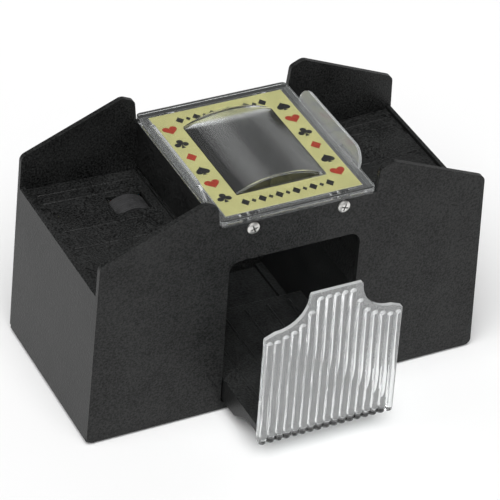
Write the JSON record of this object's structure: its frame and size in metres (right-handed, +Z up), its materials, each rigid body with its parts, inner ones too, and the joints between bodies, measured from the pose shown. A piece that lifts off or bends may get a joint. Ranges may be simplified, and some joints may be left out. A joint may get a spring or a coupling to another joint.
{
  "type": "automatic card shuffler",
  "caption": "Battery card shuffler: two open hoppers with driven feed rollers drop cards down a domed central chute onto a sliding tray with a clear fluted front.",
  "frame": {"origin": "bottom centre of the box round the shuffler as it stands with its tray drawn out 40 mm", "axes": "+X along the housing towards the start button, -Y to the front where the tray comes out, +Z up"},
  "size_m": [0.2081, 0.1418, 0.1248],
  "materials": {
    "black_abs": "fine spark-textured moulded ABS",
    "clear_styrene": "polished clear polystyrene",
    "label_card": "satin printed card",
    "nickel": "nickel-plated",
    "rubber": "matt",
    "steel": "ground and zinc-plated",
    "brass": "turned and stamped",
    "nylon": "natural nylon",
    "cell_sleeve": "shrink sleeve with bare metal ends",
    "button_abs": "smooth moulded",
    "switch_resin": "moulded phenolic",
    "wire_pvc": "PVC insulation"
  },
  "bodies": {
    "housing": {"housing_shell": "black_abs", "base_plate": "black_abs", "rubber_feet": "rubber", "base_screws": "nickel", "hopper_floor_left": "black_abs", "hopper_floor_right": "black_abs", "chute_left": "black_abs", "chute_right": "black_abs", "gate_left": "black_abs", "gate_right": "black_abs", "retard_pad_left": "rubber", "retard_pad_right": "rubber", "top_cover": "clear_styrene", "label_sheet": "label_card", "front_cover_screws": "nickel", "rear_cover_screws": "nickel", "drive_bracket_left": "nylon", "drive_bracket_right": "nylon", "bearing_plate_left": "nylon", "bearing_plate_right": "nylon", "shaft_bushes_left": "brass", "shaft_bushes_right": "brass", "motor_can_left": "steel", "motor_can_right": "steel", "motor_cap_left": "nylon", "motor_cap_right": "nylon", "idler_axle_left": "steel", "idler_axle_right": "steel", "battery_box_left": "black_abs", "battery_box_right": "black_abs", "cells_left": "cell_sleeve", "cells_right": "cell_sleeve", "contact_springs_left": "steel", "contact_springs_right": "steel", "contact_plates_left": "brass", "contact_plates_right": "brass", "switch_body": "switch_resin", "switch_terminals": "brass", "wire_harness": "wire_pvc", "drive_screws": "steel"},
    "tray": {"tray_deck": "black_abs", "tray_front": "clear_styrene", "tray_screws": "nickel"},
    "start_button": {"start_button": "button_abs"},
    "feed_left": {"feed_shaft_left": "steel", "feed_gear_left": "nylon", "roller_hubs_left": "nylon", "roller_tyres_left": "rubber"},
    "idler_left": {"idler_gear_left": "nylon"},
    "rotor_left": {"motor_shaft_left": "steel", "motor_pinion_left": "brass"},
    "battery_door_left": {"battery_door_left": "black_abs"},
    "feed_right": {"feed_shaft_right": "steel", "feed_gear_right": "nylon", "roller_hubs_right": "nylon", "roller_tyres_right": "rubber"},
    "idler_right": {"idler_gear_right": "nylon"},
    "rotor_right": {"motor_shaft_right": "steel", "motor_pinion_right": "brass"},
    "battery_door_right": {"battery_door_right": "black_abs"}
  },
  "joints": [
    {"name": "tray_slide", "type": "slide", "parent": "housing", "child": "tray", "axis": [0, -1, 0], "range_m": [-0.0398, 0.045]},
    {"name": "start_button_press", "type": "slide", "parent": "housing", "child": "start_button", "axis": [-1, 0, 0], "range_m": [0, 0.0015], "stiffness_N_per_m": 700, "springref_m": -0.001},
    {"name": "feed_spin_left", "type": "hinge", "parent": "housing", "child": "feed_left", "pos_m": [-0.055, 0.0213, 0.07132], "axis": [0, 1, 0], "continuous": true},
    {"name": "idler_spin_left", "type": "hinge", "parent": "housing", "child": "idler_left", "pos_m": [-0.0614, 0.0593, 0.06023], "axis": [0, 1, 0], "continuous": true},
    {"name": "motor_spin_left", "type": "hinge", "parent": "housing", "child": "rotor_left", "pos_m": [-0.08019, 0.0513, 0.05339], "axis": [0, 1, 0], "continuous": true},
    {"name": "battery_door_hinge_left", "type": "hinge", "parent": "housing", "child": "battery_door_left", "pos_m": [-0.04625, 0.0213, 0.00275], "axis": [0, -1, 0], "range_deg": [0, 90]},
    {"name": "feed_spin_right", "type": "hinge", "parent": "housing", "child": "feed_right", "pos_m": [0.055, 0.0213, 0.07132], "axis": [0, 1, 0], "continuous": true},
    {"name": "idler_spin_right", "type": "hinge", "parent": "housing", "child": "idler_right", "pos_m": [0.0614, 0.0593, 0.06023], "axis": [0, 1, 0], "continuous": true},
    {"name": "motor_spin_right", "type": "hinge", "parent": "housing", "child": "rotor_right", "pos_m": [0.08019, 0.0513, 0.05339], "axis": [0, 1, 0], "continuous": true},
    {"name": "battery_door_hinge_right", "type": "hinge", "parent": "housing", "child": "battery_door_right", "pos_m": [0.04625, 0.0213, 0.00275], "axis": [0, 1, 0], "range_deg": [0, 90]}
  ],
  "couplings": [
    {"joint": "idler_spin_left", "follows": "feed_spin_left", "ratio": -1.6667},
    {"joint": "motor_spin_left", "follows": "feed_spin_left", "ratio": 6.6667},
    {"joint": "idler_spin_right", "follows": "feed_spin_right", "ratio": -1.6667},
    {"joint": "motor_spin_right", "follows": "feed_spin_right", "ratio": 6.6667}
  ]
}
